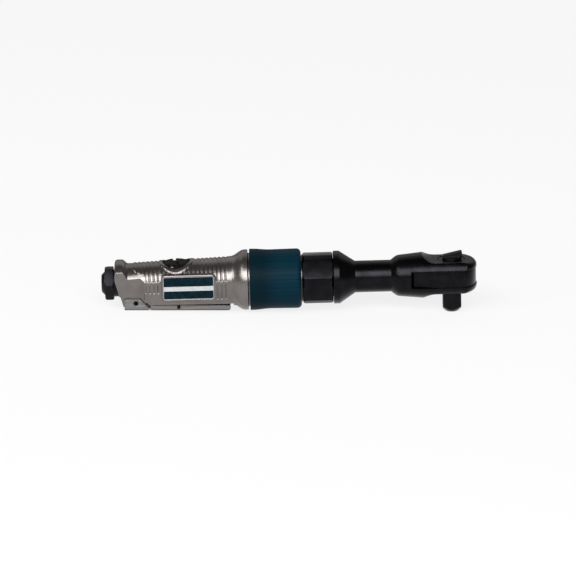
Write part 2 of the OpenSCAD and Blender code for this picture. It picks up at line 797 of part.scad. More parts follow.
// Inlet
module inlet_bushing() {
    chamfer = 1.3;
    boss_chamfer = 1.9;
    corner_r = inlet_af / 2 / cos(30);
    color("black") difference() {
        union() {
            x_turned([
                [0, 0], [0, inlet_boss_r - boss_chamfer], [boss_chamfer, inlet_boss_r],
                [inlet_boss_len + past, inlet_boss_r], [inlet_boss_len + past, 0]
            ]);
            intersection() {
                x_prism(inlet_boss_len, hex_x1) rotate(-6) circle(corner_r, $fn = 6);
                x_turned([
                    [inlet_boss_len, 0], [inlet_boss_len, corner_r - chamfer],
                    [inlet_boss_len + chamfer, corner_r - 0.2], [hex_x1 - chamfer / 2, corner_r - 0.2],
                    [hex_x1, corner_r - chamfer], [hex_x1, 0]
                ]);
            }
            x_cyl(hex_x1 - past, collar_x1, collar_r_in);
            x_cyl(collar_x1 - past, spigot_x1, spigot_r);
        }
        x_cyl(-past, port_depth, port_r);
        x_cyl(0, spigot_x1 + past, inlet_hole_r);
    }
}
module inlet_seal() {
    color("black") x_torus(collar_x1 + inlet_seal_r, inlet_seal_mid, inlet_seal_r - seat_clear);
}
module inlet_screen() {
    hole_r = 0.55;
    color("gray") difference() {
        x_cyl(screen_x0, screen_x0 + screen_t, screen_r);
        for (ring = [[0, 1], [1.7, 6], [3.4, 12], [4.9, 18]])
            around_x(ring[1]) translate([0, 0, ring[0]])
                x_cyl(screen_x0 - past, screen_x0 + screen_t + past, hole_r);
    }
}

// Throttle
module lever_side() {
    top = 2.8;
    shoulder = 2.9;
    nose = 2.6;
    nose_x = lever_len - nose;
    nose_z = -lever_drop + nose;
    flange_z = -lever_drop + lever_flange;
    web_z = -lever_drop + lever_t;
    tail = -7.9;
    bar = 10.4;
    notch_at = valve_x - pin_x + 1;
    notch = 1.2;
    polygon(concat(
        [[tail, -lever_drop]],
        arc([nose_x, nose_z], nose, -90, asin((flange_z - nose_z) / nose), 6),
        [[notch_at + notch, flange_z], [notch_at + notch, web_z],
            [notch_at - notch, web_z], [notch_at - notch, flange_z], [bar, flange_z], [bar - 1.1, web_z]],
        [[shoulder, top], [tail + 1, top], [tail, top - 1]]
    ));
}
module lever_section() {
    depth = 10;
    translate([0, -lever_drop + depth / 2]) difference() {
        union() {
            rounded_rect(lever_w, depth, 2.2);
            translate([-lever_w / 2, 0]) square([lever_w, depth / 2]);
        }
        translate([0, lever_t]) union() {
            rounded_rect(lever_w - 2 * lever_t, depth, 0.8);
            translate([-lever_w / 2 + lever_t, 0]) square([lever_w - 2 * lever_t, depth]);
        }
    }
}
module throttle_lever() {
    relief = 1.7;
    color("lightgray") translate([pin_x, 0, -pin_z]) rotate([0, lever_slope, 0]) difference() {
        intersection() {
            y_prism(lever_w + 2) lever_side();
            x_prism(-12, lever_len + 2) lever_section();
        }
        for (side = [-1, 1])
            translate([8.7, side * lever_w / 2 - 3, -lever_drop - past]) cube([relief, 6, 4]);
        y_cyl(0, 0, pin_r + run_clear, lever_w + 2);
    }
}
module lever_pin() {
    color("black") difference() {
        y_cyl(pin_x, -pin_z, pin_r, lever_w + 0.2);
        y_cyl(pin_x, -pin_z, pin_r * 0.5, lever_w + 2);
    }
}
module valve_stem() {
    color("dimgray") {
        z_cyl(valve_x, stem_foot, stem_head_z1, stem_r);
        z_cyl(valve_x, poppet_z1 + seat_clear, stem_head_z1, stem_r + 0.8);
    }
}
module valve_poppet() {
    color("black") difference() {
        z_cyl(valve_x, poppet_z0, poppet_z1, poppet_r);
        z_cyl(valve_x, poppet_z0 - past, poppet_z1 + past, stem_r + 0.02);
    }
}
module valve_seat() {
    color("goldenrod") difference() {
        z_cyl(valve_x, seat_z0 + seat_clear, seat_z1, barrel_bore_r - seat_clear);
        z_cyl(valve_x, seat_z0 - past, seat_z1 + past, seat_hole_r);
    }
}
module valve_guide() {
    color("goldenrod") difference() {
        z_cyl(valve_x, -underside_z, guide_z1, guide_r);
        z_cyl(valve_x, -underside_z - past, guide_z1 + past, stem_r + run_clear);
    }
}
module valve_spring() {
    color("silver") translate([valve_x, 0, 0])
        coil_spring(spring_mid_r, spring_wire_r, poppet_z1 + 0.1, barrel_z1 - barrel_roof - 0.1, 5);
}
module regulator_dial() {
    window_r = air_in_r + 0.1;
    color("black") difference() {
        union() {
            z_cyl(valve_x, barrel_z1, dial_top - 1, dial_r);
            translate([valve_x, 0, dial_top - 1]) cylinder(h = 1, r1 = dial_r, r2 = dial_r - 1);
            z_cyl(valve_x, barrel_z0, barrel_z1 + past, barrel_r);
        }
        z_cyl(valve_x, barrel_z0 - past, barrel_z1 - barrel_roof, barrel_r - barrel_wall);
        translate([0, 0, air_in_z]) x_cyl(valve_x - 2 * barrel_r, valve_x, window_r);
        translate([valve_x, 0, ring_groove_z]) rotate_extrude()
            translate([seal_mid - seal_r - seat_clear, -seal_r - seat_clear])
                square([3 * seal_r, 2 * (seal_r + seat_clear)]);
        z_torus(valve_x, clip_z, dial_r, clip_r + run_clear);
        translate([valve_x, 0, dial_top - 1.6]) rotate(-79)
            translate([-dial_r - past, -dial_slot / 2, 0]) cube([2 * dial_r + 2 * past, dial_slot, 4]);
    }
}
module regulator_seal() {
    color("black") z_torus(valve_x, ring_groove_z, seal_mid, seal_r);
}
module regulator_clip() {
    color("gray") z_torus(valve_x, clip_z, dial_r + run_clear / 2, clip_r);
}

// Motor
module end_plate(x0, x1, bearing_x0, port_z) {
    difference() {
        x_cyl(x0, x1, stack_r);
        x_cyl(x0 - past, x1 + past, plate_hole_r);
        x_cyl(bearing_x0 - 0.1, bearing_x0 + bearing_w + 0.1, bearing_r + seat_clear);
        translate([0, 0, port_z]) x_cyl(x0 - past, x1 + past, 1.4);
        translate([0, dowel_mid, 0]) x_cyl(x0 - past, x1 + past, dowel_r + seat_clear);
    }
}
module rear_end_plate() {
    color("gray") end_plate(rear_plate_x0, rear_plate_x1, rear_bearing_x0, -bearing_r - 2);
}
module front_end_plate() {
    color("gray") end_plate(front_plate_x0, front_plate_x1, front_bearing_x0, bearing_r + 2);
}
module motor_liner() {
    color("dimgray") difference() {
        x_cyl(liner_x0, liner_x1, stack_r);
        translate([0, 0, -chamber_offset]) x_cyl(liner_x0 - past, liner_x1 + past, chamber_r);
        translate([0, dowel_mid, 0]) x_cyl(liner_x0 - past, liner_x1 + past, dowel_r + seat_clear);
        for (i = [1:5]) translate([liner_x0 + liner_len * i / 6, 0, 0]) rotate([60, 0, 0])
            cylinder(h = 2 * stack_r, r = 1.2);
    }
}
module liner_dowel() {
    color("silver") translate([0, dowel_mid, 0]) x_cyl(rear_plate_x0 + 1, front_plate_x1 - 1, dowel_r);
}
module rotor() {
    color("gray") difference() {
        union() {
            x_cyl(rotor_x0, rotor_x1, rotor_r);
            x_cyl(rear_plate_x0, front_plate_x1, journal_r);
            x_prism(front_plate_x1 - past, sun_x1)
                polygon(gear_outline(sun_teeth, gear_tip, gear_root, -gear_backlash, sun_phase));
        }
        around_x(vane_count) translate([rotor_x0 - past, -vane_slot / 2, vane_root_r])
            cube([rotor_x1 - rotor_x0 + 2 * past, vane_slot, rotor_r]);
    }
}
module rotor_vanes() {
    color("saddlebrown") around_x(vane_count)
        translate([rotor_x0 + 0.05, -vane_t / 2, vane_root_r + 0.05])
            cube([rotor_x1 - rotor_x0 - 0.1, vane_t, rotor_r - vane_root_r - 0.15]);
}
module bearing_outer(x0) {
    color("silver") x_ring(x0, x0 + bearing_w, bearing_r, outer_race_r);
}
module bearing_inner(x0) {
    color("silver") x_ring(x0, x0 + bearing_w, inner_race_r, journal_r + run_clear / 2);
}
module bearing_ball_set(x0) {
    color("gainsboro") around_x(bearing_balls) translate([x0 + bearing_w / 2, 0, ball_circle_r])
        sphere(bearing_ball_r);
}
module rear_bearing_outer() { bearing_outer(rear_bearing_x0); }
module rear_bearing_inner() { bearing_inner(rear_bearing_x0); }
module rear_bearing_balls() { bearing_ball_set(rear_bearing_x0); }
module front_bearing_outer() { bearing_outer(front_bearing_x0); }
module front_bearing_inner() { bearing_inner(front_bearing_x0); }
module front_bearing_balls() { bearing_ball_set(front_bearing_x0); }

// Gears
module ring_gear() {
    color("dimgray") difference() {
        x_cyl(ring_x0, ring_x1, stack_r);
        x_prism(ring_x0 - past, ring_x1 + past)
            polygon(gear_outline(ring_teeth, gear_root, gear_tip, gear_backlash, ring_phase));
    }
}
module planet_gear(i) {
    at = polar(gear_centre, planet_angle(i));
    color("silver") translate([0, at[0], at[1]]) difference() {
        x_prism(planet_x0, planet_x1)
            polygon(gear_outline(planet_teeth, gear_tip, gear_root, -gear_backlash, planet_phase(i)));
        x_cyl(planet_x0 - past, planet_x1 + past, planet_pin_r + run_clear);
    }
}
module planet_gear_1() { planet_gear(0); }
module planet_gear_2() { planet_gear(1); }
module planet_gear_3() { planet_gear(2); }
module planet_pins() {
    color("gray") for (i = [0:planet_count - 1]) {
        at = polar(gear_centre, planet_angle(i));
        translate([0, at[0], at[1]]) x_cyl(planet_x0 - free_gap, carrier_x1, planet_pin_r);
    }
}

// Crank
module crankshaft() {
    color("gray") difference() {
        union() {
            x_cyl(carrier_x0, carrier_x1, carrier_r);
            x_cyl(carrier_x1 - past, rear_bush_x1, crank_rear_r);
            x_cyl(rear_bush_x1 - past, front_bush_x0 + past, crank_shaft_r);
            x_cyl(front_bush_x0, web_x0 + past, crank_front_r);
            x_cyl(web_x0, web_x1, web_r);
            translate([0, 0, -crank_throw]) x_cyl(web_x1 - past, crank_tip_x, crank_pin_r);
        }
        for (i = [0:planet_count - 1]) {
            at = polar(gear_centre, planet_angle(i));
            translate([0, at[0], at[1]]) x_cyl(carrier_x0 - past, carrier_x1 + past, planet_pin_r + 0.02);
        }
    }
}
module crank_bush() {
    color("silver") translate([0, 0, -crank_throw])
        x_ring(crank_bush_x0, crank_bush_x1, crank_bush_r, crank_pin_r + run_clear);
}
module crank_rear_bearing() {
    color("goldenrod") x_ring(rear_bush_x0, rear_bush_x1, rear_bush_r, crank_rear_r + run_clear);
}
module crank_front_bearing() {
    color("goldenrod")
        x_ring(front_bush_x0, front_bush_x1, neck_bore_r - seat_clear, crank_front_r + run_clear);
}

// Head
module head_blank() {
    x_turned(concat(
        [[spigot_head_x0, 0], [spigot_head_x0, head_spigot_r], [captive_x0, head_spigot_r],
            [captive_x0, captive_in_r], [captive_x1, captive_in_r], [captive_x1, head_spigot_r],
            [head_x0, head_spigot_r], [head_x0, head_flange_r - 0.4], [head_x0 + 0.4, head_flange_r],
            [cone_x0, head_flange_r], [neck_x0, neck_r]],
        swell([neck_x1, neck_r], [flare_x1, head_rear_r], 6),
        [[head_full_x, head_r], [drive_x + nose_r, head_r], [drive_x + nose_r, 0]]
    ));
}
// Round nose about the drive axis, rolled off above and below
module nose_limit() {
    z = flat_z + past;
    mid_r = nose_r - nose_round;
    mid_z = flat_z - nose_round;
    translate([drive_x, 0, 0]) rotate_extrude() polygon(concat(
        [[0, -z], [mid_r, -z]],
        arc([mid_r, -mid_z], nose_round, -90, 0, 6),
        arc([mid_r, mid_z], nose_round, 0, 90, 6),
        [[mid_r, z], [0, z]]
    ));
    translate([0, -wide, -wide]) cube([drive_x, 2 * wide, 2 * wide]);
}
module ratchet_head() {
    color("black") difference() {
        intersection() {
            head_blank();
            nose_limit();
        }
        for (side = [-1, 1]) {
            y_cyl(cutter_x, side * (flat_z + cutter_r), cutter_r, 2 * wide);
            translate([cutter_x, -wide, side > 0 ? flat_z : -flat_z - wide]) cube([wide, 2 * wide, wide]);
        }
        translate([slot_x0, -wide, -slot_z]) cube([2 * wide, 2 * wide, 2 * slot_z]);
        x_cyl(spigot_head_x0 - past, spigot_bore_x1, rear_bush_r + seat_clear);
        x_cyl(spigot_bore_x1 - past, slot_x0 + past, neck_bore_r);
        x_cyl(cavity_x0, slot_x0 + past, cavity_r);
        z_cyl(drive_x, 0, flat_z + past, upper_bore_r);
        translate([drive_x, 0, flat_z - ring_chamfer])
            cylinder(h = 2 * ring_chamfer, r1 = upper_bore_r, r2 = upper_bore_r + 2 * ring_chamfer);
        z_cyl(drive_x, -flat_z - past, 0, lower_bore_r);
        z_cyl(drive_x, retainer_z0 - 0.05, retainer_z0 + 1.05, retainer_r);
    }
}

// Ratchet
// Corners of a yoke tooth that points inwards and is thicker by grow on every side
function yoke_tooth_points(angle, grow) =
    let (
        tip = yoke_tip_r - grow,
        wide = tooth_pitch * 0.36 + grow / yoke_root_r * 180 / PI,
        narrow = tooth_pitch * 0.1 + grow / tip * 180 / PI
    )
    [polar(yoke_root_r, angle - wide), polar(tip, angle - narrow),
        polar(tip, angle + narrow), polar(yoke_root_r, angle + wide)];
module yoke_outline() {
    difference() {
        union() {
            intersection() {
                circle(yoke_r);
                square([4 * yoke_r, 2 * yoke_half], center = true);
            }
            polygon([
                [0, yoke_half], [-12, yoke_half - 0.3], [-yoke_neck_x, yoke_half - 2.2],
                [-yoke_neck_x, -yoke_half + 2.2], [-12, -yoke_half + 0.3], [0, -yoke_half]
            ]);
            translate([-yoke_tail_x, -yoke_tail - yoke_tail_wall])
                square([yoke_tail_x - 20, 2 * (yoke_tail + yoke_tail_wall)]);
        }
        polygon([for (k = [0:yoke_teeth - 1]) each yoke_tooth_points(tooth_pitch * k, 0)]);
        translate([-yoke_tail_x - past, -yoke_tail])
            square([yoke_tail_x + past - (drive_x - crank_tip_x) + yoke_tail + free_gap, 2 * yoke_tail]);
    }
}
module ratchet_yoke() {
    color("dimgray") translate([drive_x, 0, -yoke_half_z]) linear_extrude(2 * yoke_half_z) yoke_outline();
}
module pawl_pocket() {
    back = pocket_back_x - pocket_half_y * tan(pocket_slope);
    polygon([
        [back, -pocket_half_y], [2 * drum_r, -pocket_half_y], [2 * drum_r, pocket_half_y],
        [back, pocket_half_y], [pocket_back_x, 0]
    ]);
}
module drive_square() {
    intersection() {
        translate([-drive_sq / 2, -drive_sq / 2, drive_z0])
            cube([drive_sq, drive_sq, collar_z0 - drive_z0 + past]);
        rotate_extrude() polygon(concat(
            [[0, drive_z0]],
            [[drive_sq / 2 - drive_tip, drive_z0], [drive_corner_r, drive_z0 + 2 * drive_tip]],
            [[drive_corner_r, collar_z0 + past], [0, collar_z0 + past]]
        ));
    }
}
module anvil() {
    color("black") translate([drive_x, 0, 0]) difference() {
        union() {
            z_cyl(0, drum_z0, yoke_half_z, drum_r);
            z_cyl(0, 0, anvil_top_z - ring_chamfer, upper_r);
            translate([0, 0, anvil_top_z - ring_chamfer])
                cylinder(h = ring_chamfer, r1 = upper_r, r2 = upper_r - ring_chamfer);
            z_cyl(0, collar_z0, drum_z0 + past, collar_r);
            drive_square();
        }
        translate([0, 0, -pawl_half_z - pawl_room])
            linear_extrude(2 * (pawl_half_z + pawl_room)) pawl_pocket();
        z_cyl(0, recess_z, flat_z + past, reverse_r + run_clear);
        z_cyl(0, reverse_stem_z0 - 0.2, flat_z, reverse_stem_r + run_clear);
        z_cyl(0, -plunger_r - free_gap, plunger_r + free_gap, plunger_swing_r);
        z_cyl(pawl_pin_x, -pawl_half_z - 2, yoke_half_z + past, pawl_pin_r + 0.02);
        translate([0, ball_bore_y, ball_z]) rotate([-90, 0, 0])
            cylinder(h = drive_sq, r = ball_r + run_clear);
    }
}
module thrust_washer() {
    color("goldenrod") difference() {
        z_cyl(drive_x, washer_z0, drum_z0 - run_clear, lower_bore_r - run_clear);
        z_cyl(drive_x, washer_z0 - past, drum_z0 + past, collar_r + run_clear);
    }
}
module anvil_retainer() {
    color("gray") difference() {
        z_cyl(drive_x, retainer_z0, retainer_z0 + 1, retainer_r - run_clear);
        z_cyl(drive_x, retainer_z0 - past, retainer_z0 + 2, collar_r + 2 * run_clear);
    }
}
// One toothed end of the pawl, drawn where it meets the yoke
module pawl_end() {
    difference() {
        intersection() {
            circle(pawl_tip_r);
            polygon([
                polar(pawl_core_r - 3, -pawl_from), polar(2 * pawl_tip_r, -pawl_from),
                polar(2 * pawl_tip_r, -pawl_to), polar(pawl_core_r - 2, -pawl_to)
            ]);
        }
        for (k = [floor(pawl_from / tooth_pitch):ceil(pawl_to / tooth_pitch)])
            polygon(yoke_tooth_points(-tooth_pitch * k, pawl_clear));
    }
}
module pawl_outline() {
    intersection() {
        union() {
            polygon(concat(
                [[pawl_back_x, pawl_half_y], [pawl_back_x, -pawl_half_y]],
                arc([0, 0], pawl_core_r, -pawl_core_angle, pawl_core_angle, 12)
            ));
            for (side = [0, 1]) mirror([0, side])
                translate([pawl_pin_x, 0]) rotate(-pawl_rock) translate([-pawl_pin_x, 0]) pawl_end();
        }
        translate([pawl_back_x, -wide]) square([wide, 2 * wide]);
    }
}
module pawl() {
    color("silver") translate([drive_x, 0, -pawl_half_z]) linear_extrude(2 * pawl_half_z) difference() {
        pawl_outline();
        translate([pawl_pin_x, 0]) circle(pawl_pin_r + run_clear);
    }
}
module pawl_pin() {
    color("gray") z_cyl(drive_x + pawl_pin_x, -pawl_half_z - 1.9, yoke_half_z - 0.1, pawl_pin_r);
}
module reverse_lever() {
    color("black") translate([drive_x, 0, 0]) difference() {
        union() {
            z_cyl(0, recess_z + run_clear, reverse_top_z, reverse_r);
            z_cyl(0, reverse_stem_z0, recess_z + past, reverse_stem_r);
            translate([bar_ahead, 0, 0]) y_prism(bar_w) polygon(concat(
                [[-bar_len / 2 + 0.4, flat_z + run_clear], [bar_len / 2 - 0.4, flat_z + run_clear]],
                arc([bar_len / 2 - 0.8, bar_high_z - 0.8], 0.8, 0, 100, 4),
                arc([-bar_len / 2 + 0.8, bar_low_z - 0.8], 0.8, 100, 180, 4)
            ));
        }
        x_cyl(plunger_bore_x0, reverse_stem_r + past, plunger_r + run_clear);
    }
}
module reverse_plunger() {
    color("silver") translate([drive_x, 0, 0]) x_turned(concat(
        [[plunger_back_x, 0], [plunger_back_x, plunger_r]],
        arc([plunger_tip_x - plunger_r, 0], plunger_r, 90, 0, 6)
    ));
}
module plunger_spring() {
    color("silver") translate([drive_x + plunger_bore_x0, 0, 0]) rotate([0, 90, 0])
        coil_spring(0.75, 0.2, 0.1, plunger_back_x - plunger_bore_x0 - 0.1, 3);
}
module drive_ball() {
    color("silver") translate([drive_x, ball_y, ball_z]) sphere(ball_r);
}
module detent_spring() {
    color("silver") translate([drive_x, ball_bore_y, ball_z]) rotate([-90, 0, 0])
        coil_spring(ball_r - 2 * detent_wire_r, detent_wire_r, 0.1, ball_y - ball_bore_y - ball_r * 0.7, 4);
}

handle_housing();
label_plate();
exhaust_sleeve();
coupling_nut();
captive_ring();
ratchet_head();
inlet_bushing();
inlet_seal();
inlet_screen();
throttle_lever();
lever_pin();
valve_stem();
valve_poppet();
valve_seat();
valve_guide();
valve_spring();
regulator_dial();
regulator_seal();
regulator_clip();
rear_end_plate();
motor_liner();
front_end_plate();
liner_dowel();
rotor();
rotor_vanes();
rear_bearing_outer();
rear_bearing_inner();
rear_bearing_balls();
front_bearing_outer();
front_bearing_inner();
front_bearing_balls();
ring_gear();
planet_gear_1();
planet_gear_2();
planet_gear_3();
planet_pins();
crankshaft();
crank_bush();
crank_rear_bearing();
crank_front_bearing();
ratchet_yoke();
anvil();
thrust_washer();
anvil_retainer();
pawl();
pawl_pin();
reverse_lever();
reverse_plunger();
plunger_spring();
drive_ball();
detent_spring();
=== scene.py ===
# %% [markdown]
# An air ratchet, dressed for its portrait.
# The solids of the tool come in as a frame: one mesh for each real piece, in metres, with X along the tool,
# Z up and the square drive pointing down. This lesson gives each piece the edges, the grain and the finish
# that its maker gave it. A piece that needs finer shapes than the frame holds is modelled over it.

# %% Load the frame
import json
import math
import bpy
from mathutils import Matrix, Vector


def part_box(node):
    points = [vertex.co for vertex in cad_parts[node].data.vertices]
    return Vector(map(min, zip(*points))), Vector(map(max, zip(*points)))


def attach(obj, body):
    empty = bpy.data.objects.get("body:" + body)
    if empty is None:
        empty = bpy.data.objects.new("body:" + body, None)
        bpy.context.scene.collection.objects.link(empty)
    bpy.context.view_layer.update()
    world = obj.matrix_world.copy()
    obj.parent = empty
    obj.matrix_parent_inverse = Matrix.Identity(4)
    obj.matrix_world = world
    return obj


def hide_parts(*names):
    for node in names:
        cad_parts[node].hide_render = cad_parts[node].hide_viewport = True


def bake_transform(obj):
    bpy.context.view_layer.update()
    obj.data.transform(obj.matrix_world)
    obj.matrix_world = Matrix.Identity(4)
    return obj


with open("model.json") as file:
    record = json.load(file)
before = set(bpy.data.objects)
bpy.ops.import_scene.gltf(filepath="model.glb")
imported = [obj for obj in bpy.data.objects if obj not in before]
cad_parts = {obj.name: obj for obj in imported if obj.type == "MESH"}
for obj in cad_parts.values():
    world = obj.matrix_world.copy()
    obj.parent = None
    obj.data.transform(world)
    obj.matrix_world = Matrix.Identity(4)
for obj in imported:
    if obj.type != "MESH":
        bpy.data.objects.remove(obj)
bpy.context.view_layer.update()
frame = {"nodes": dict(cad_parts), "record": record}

# %% [markdown]
# The camera stands in front of the tool, a little above it. The photograph shows hardly any of the top,
# which gives an elevation near sixteen degrees. The ends of the round sleeve are straight lines in it, so
# the camera is far away with a long lens. The tool rests on its drive and on the rear edge of its sleeve,
# which tips it slightly nose up. Tipping the tool would move it out of its frame, so the camera is rolled by
# that angle instead, and the table with it.

# %% Camera
MM = 0.001
elevation = math.radians(16.5)
roll = math.radians(1.54)
distance = 2.8
sensor = 36
pixel = 0.6915 * MM
frame_width = 576 * pixel
tool_middle = 128.8 * MM
look_below = 6.7 * MM
forward = Vector((0, math.cos(elevation), -math.sin(elevation)))
right = Vector((1, 0, 0))
up = Vector((0, math.sin(elevation), math.cos(elevation)))
right_rolled = right * math.cos(roll) - up * math.sin(roll)
up_rolled = up * math.cos(roll) + right * math.sin(roll)
aim = Vector((tool_middle, 0, 0)) - up_rolled * look_below
bpy.ops.object.camera_add(location=aim - forward * distance)
camera = bpy.context.object
camera.name = "photo_camera"
camera.rotation_euler = Matrix((right_rolled, up_rolled, -forward)).transposed().to_euler()
camera.data.sensor_fit = "HORIZONTAL"
camera.data.sensor_width = sensor
camera.data.lens = sensor * distance / frame_width
camera.data.clip_start = 0.01
bpy.context.scene.camera = camera
print("camera: %.0f mm lens at %.2f m" % (camera.data.lens, distance))

# %% [markdown]
# Every finish is a small tree of nodes on a Principled shader. Nodes could be set and linked one line at a
# time, but one helper that adds a node, sets what it is given and links its inputs keeps each tree readable.
# Another turns sRGB hex colours, which are easy to read off a photograph, into the linear numbers that the
# shader wants.

# %% Colours and nodes
def linear(hex_colour):
    parts = [int(hex_colour[i:i + 2], 16) / 255 for i in (1, 3, 5)]
    return [c / 12.92 if c <= 0.04045 else ((c + 0.055) / 1.055) ** 2.4 for c in parts] + [1.0]


def add(tree, kind, links=None, inputs=None, **settings):
    node = tree.nodes.new(kind)
    for key, value in settings.items():
        setattr(node, key, value)
    for key, value in (inputs or {}).items():
        node.inputs[key].default_value = value
    for key, socket in (links or {}).items():
        tree.links.new(socket, node.inputs[key])
    return node


print("black is", linear("#000000"), "and white is", linear("#ffffff"))

# %% [markdown]
# No real surface has one colour or one shine. All the finishes of this tool therefore share a recipe: two
# tones that drift into each other, a roughness that wanders between two values, and a shallow relief. Each
# follows a noise whose grain has a size in millimetres. The noise reads Object coordinates, which are metres
# here, so a grain of half a millimetre has a scale of 1 / 0.0005. A way is a stretch of the grain: a small
# number draws it out along that axis, as turning or rolling does.

# %% One recipe for a finish
even = (1, 1, 1)
tone_stops = (0.35, 0.65)
grain_names = ("tone_grain", "shine_grain", "relief_grain")


def new_finish(name, tones, rough, grains_mm, relief=None, ways=(even, even, even), **constants):
    material = bpy.data.materials.new(name)
    material.use_nodes = True
    tree = material.node_tree
    shader = tree.nodes["Principled BSDF"]
    for key, value in constants.items():
        shader.inputs[key.replace("_", " ")].default_value = value
    colour = add(tree, "ShaderNodeValToRGB", name="tones")
    for element, position, tone in zip(colour.color_ramp.elements, tone_stops, tones):
        element.position = position
        element.color = linear(tone)
    shine = add(tree, "ShaderNodeMapRange", inputs={"To Min": rough[0], "To Max": rough[1]})
    tree.links.new(colour.outputs["Color"], shader.inputs["Base Color"])
    tree.links.new(shine.outputs["Result"], shader.inputs["Roughness"])
    followers = [colour.inputs["Fac"], shine.inputs["Value"]]
    if relief:
        depth_mm, strength = relief
        bump = add(tree, "ShaderNodeBump", inputs={"Strength": strength, "Distance": depth_mm * MM})
        tree.links.new(bump.outputs["Normal"], shader.inputs["Normal"])
        followers.append(bump.inputs["Height"])
    place = add(tree, "ShaderNodeTexCoord").outputs["Object"]
    for follower, grain_name, size_mm, way in zip(followers, grain_names, grains_mm, ways):
        where = add(tree, "ShaderNodeMapping", {"Vector": place}, {"Scale": way})
        noise = add(tree, "ShaderNodeTexNoise", {"Vector": where.outputs["Vector"]},
                    {"Scale": 1 / (size_mm * MM), "Detail": 3.0}, name=grain_name)
        tree.links.new(noise.outputs["Fac"], follower)
    print("finish:", name)
    return material


# %% [markdown]
# Cast and bead-blasted aluminium, for the handle. Blasting leaves a fine sparkle without a direction, hands
# leave it a little shinier in places, and the alloy itself is a warm grey. The grooves between the ribs get
# painted shade and the crests a faint painted highlight. They could be painted along each groove, but
# Pointiness finds all the hollows of the mesh at once, so they are made darker than its crests. The grain of
# a real blast is about 0.1 mm, too fine to show here, so it is drawn at 0.45 mm.

# %% Blasted aluminium
cast_aluminium = new_finish("cast_aluminium_blasted", tones=("#76716f", "#827d7b"), rough=(0.23, 0.33),
                            grains_mm=(9, 2.2, 0.45), relief=(0.05, 0.35), Metallic=1.0)
tree = cast_aluminium.node_tree
# Painted shade in the hollows and painted highlight on the crests: Pointiness scales the tone from 0.6 to
# 1.06.
crest = add(tree, "ShaderNodeNewGeometry").outputs["Pointiness"]
groove_shade = add(tree, "ShaderNodeMapRange", {"Value": crest},
           {"From Min": 0.44, "From Max": 0.52, "To Min": 0.6, "To Max": 1.06})
unshaded_tone = tree.nodes["tones"].outputs["Color"]
shaded_grooves = add(tree, "ShaderNodeVectorMath", {0: unshaded_tone, 1: groove_shade.outputs["Result"]}, operation="MULTIPLY")
tree.links.new(shaded_grooves.outputs["Vector"], tree.nodes["Principled BSDF"].inputs["Base Color"])
print("dirt darkens the grooves to %.1f of their tone" % groove_shade.inputs["To Min"].default_value)

# %% [markdown]
# Black oxide on steel, for the head, the nut, the inlet and everything in the ratchet. It could be a black
# paint, but the layer is thin and oiled, so the steel still reflects under it: a dark metal keeps the broad
# soft highlights. Its tone drifts over a centimetre or so. The nut is turned, and shows very fine lines
# around the tool's axis. They lie closer than the picture can show, so they are drawn 0.6 mm apart. The head
# is forged and tumbled first, which leaves shallow dents of one to two millimetres that break up its
# highlights. Small pieces are blackened in the barrel and come out duller.

# %% Black oxide
def black_oxide(name, tones, rough, dent_mm, dent_way, dent_depth_mm):
    material = new_finish(name, tones, rough, grains_mm=(7, 1.8, dent_mm), relief=(dent_depth_mm, 0.3),
                          ways=(even, even, dent_way), Metallic=1.0)
    material.node_tree.nodes["relief_grain"].inputs["Detail"].default_value = 2.0
    return material


around = (1, 0.08, 0.08)
deep_tones = ("#19191b", "#201f22")
dull_tones = ("#222225", "#2a292c")
black_turned = black_oxide("steel_turned_black_oxide", deep_tones, (0.20, 0.30), 0.6, around, 0.02)
black_forged = black_oxide("steel_forged_black_oxide", deep_tones, (0.17, 0.37), 1.6, even, 0.12)
black_dull = black_oxide("steel_dull_black_oxide", dull_tones, (0.38, 0.50), 0.5, even, 0.03)

# %% [markdown]
# Stamped and plated sheet steel, for the throttle lever. Rolling leaves faint streaks along the strip, and
# the plating evens out the shine. Its underside and the bend that leads to it get painted shade, darker than
# its sides. The painted shade could be a second material with a hard edge. Here it follows how far a face
# looks down, so it fades in over the bend.

# %% Plated sheet
along = (0.04, 1, 1)
plated_sheet = new_finish("sheet_steel_plated", tones=("#7d7b7a", "#929090"), rough=(0.24, 0.40),
                          grains_mm=(0.7, 3, 0.7), relief=(0.03, 0.2), ways=(along, even, along),
                          Metallic=1.0)
tree = plated_sheet.node_tree
normal = add(tree, "ShaderNodeTexCoord").outputs["Normal"]
looks_up = add(tree, "ShaderNodeSeparateXYZ", {"Vector": normal}).outputs["Z"]
# Painted shade: faces that look down are darkened to as little as 0.2 of their tone.
underside_shade = add(tree, "ShaderNodeMapRange", {"Value": looks_up},
            {"From Min": -0.8, "From Max": -0.2, "To Min": 0.2, "To Max": 1.0})
unshaded_tone = tree.nodes["tones"].outputs["Color"]
shaded_underside = add(tree, "ShaderNodeVectorMath", {0: unshaded_tone, 1: underside_shade.outputs["Result"]}, operation="MULTIPLY")
tree.links.new(shaded_underside.outputs["Vector"], tree.nodes["Principled BSDF"].inputs["Base Color"])
print("stain darkens the underside to %.1f of its tone" % underside_shade.inputs["To Min"].default_value)

# %% [markdown]
# Moulded nitrile rubber, for the sleeve. It is dyed a deep sea blue that is close to black and is a little
# shiny from its mould. Its front half was wiped along the tool and keeps paler streaks that way. Stripes of
# a wave texture would be too regular. So the noise of its tone is turned into one of a single number, the
# angle around the axis. Its streaks then run straight along the tool, and they are faded out to the rear.

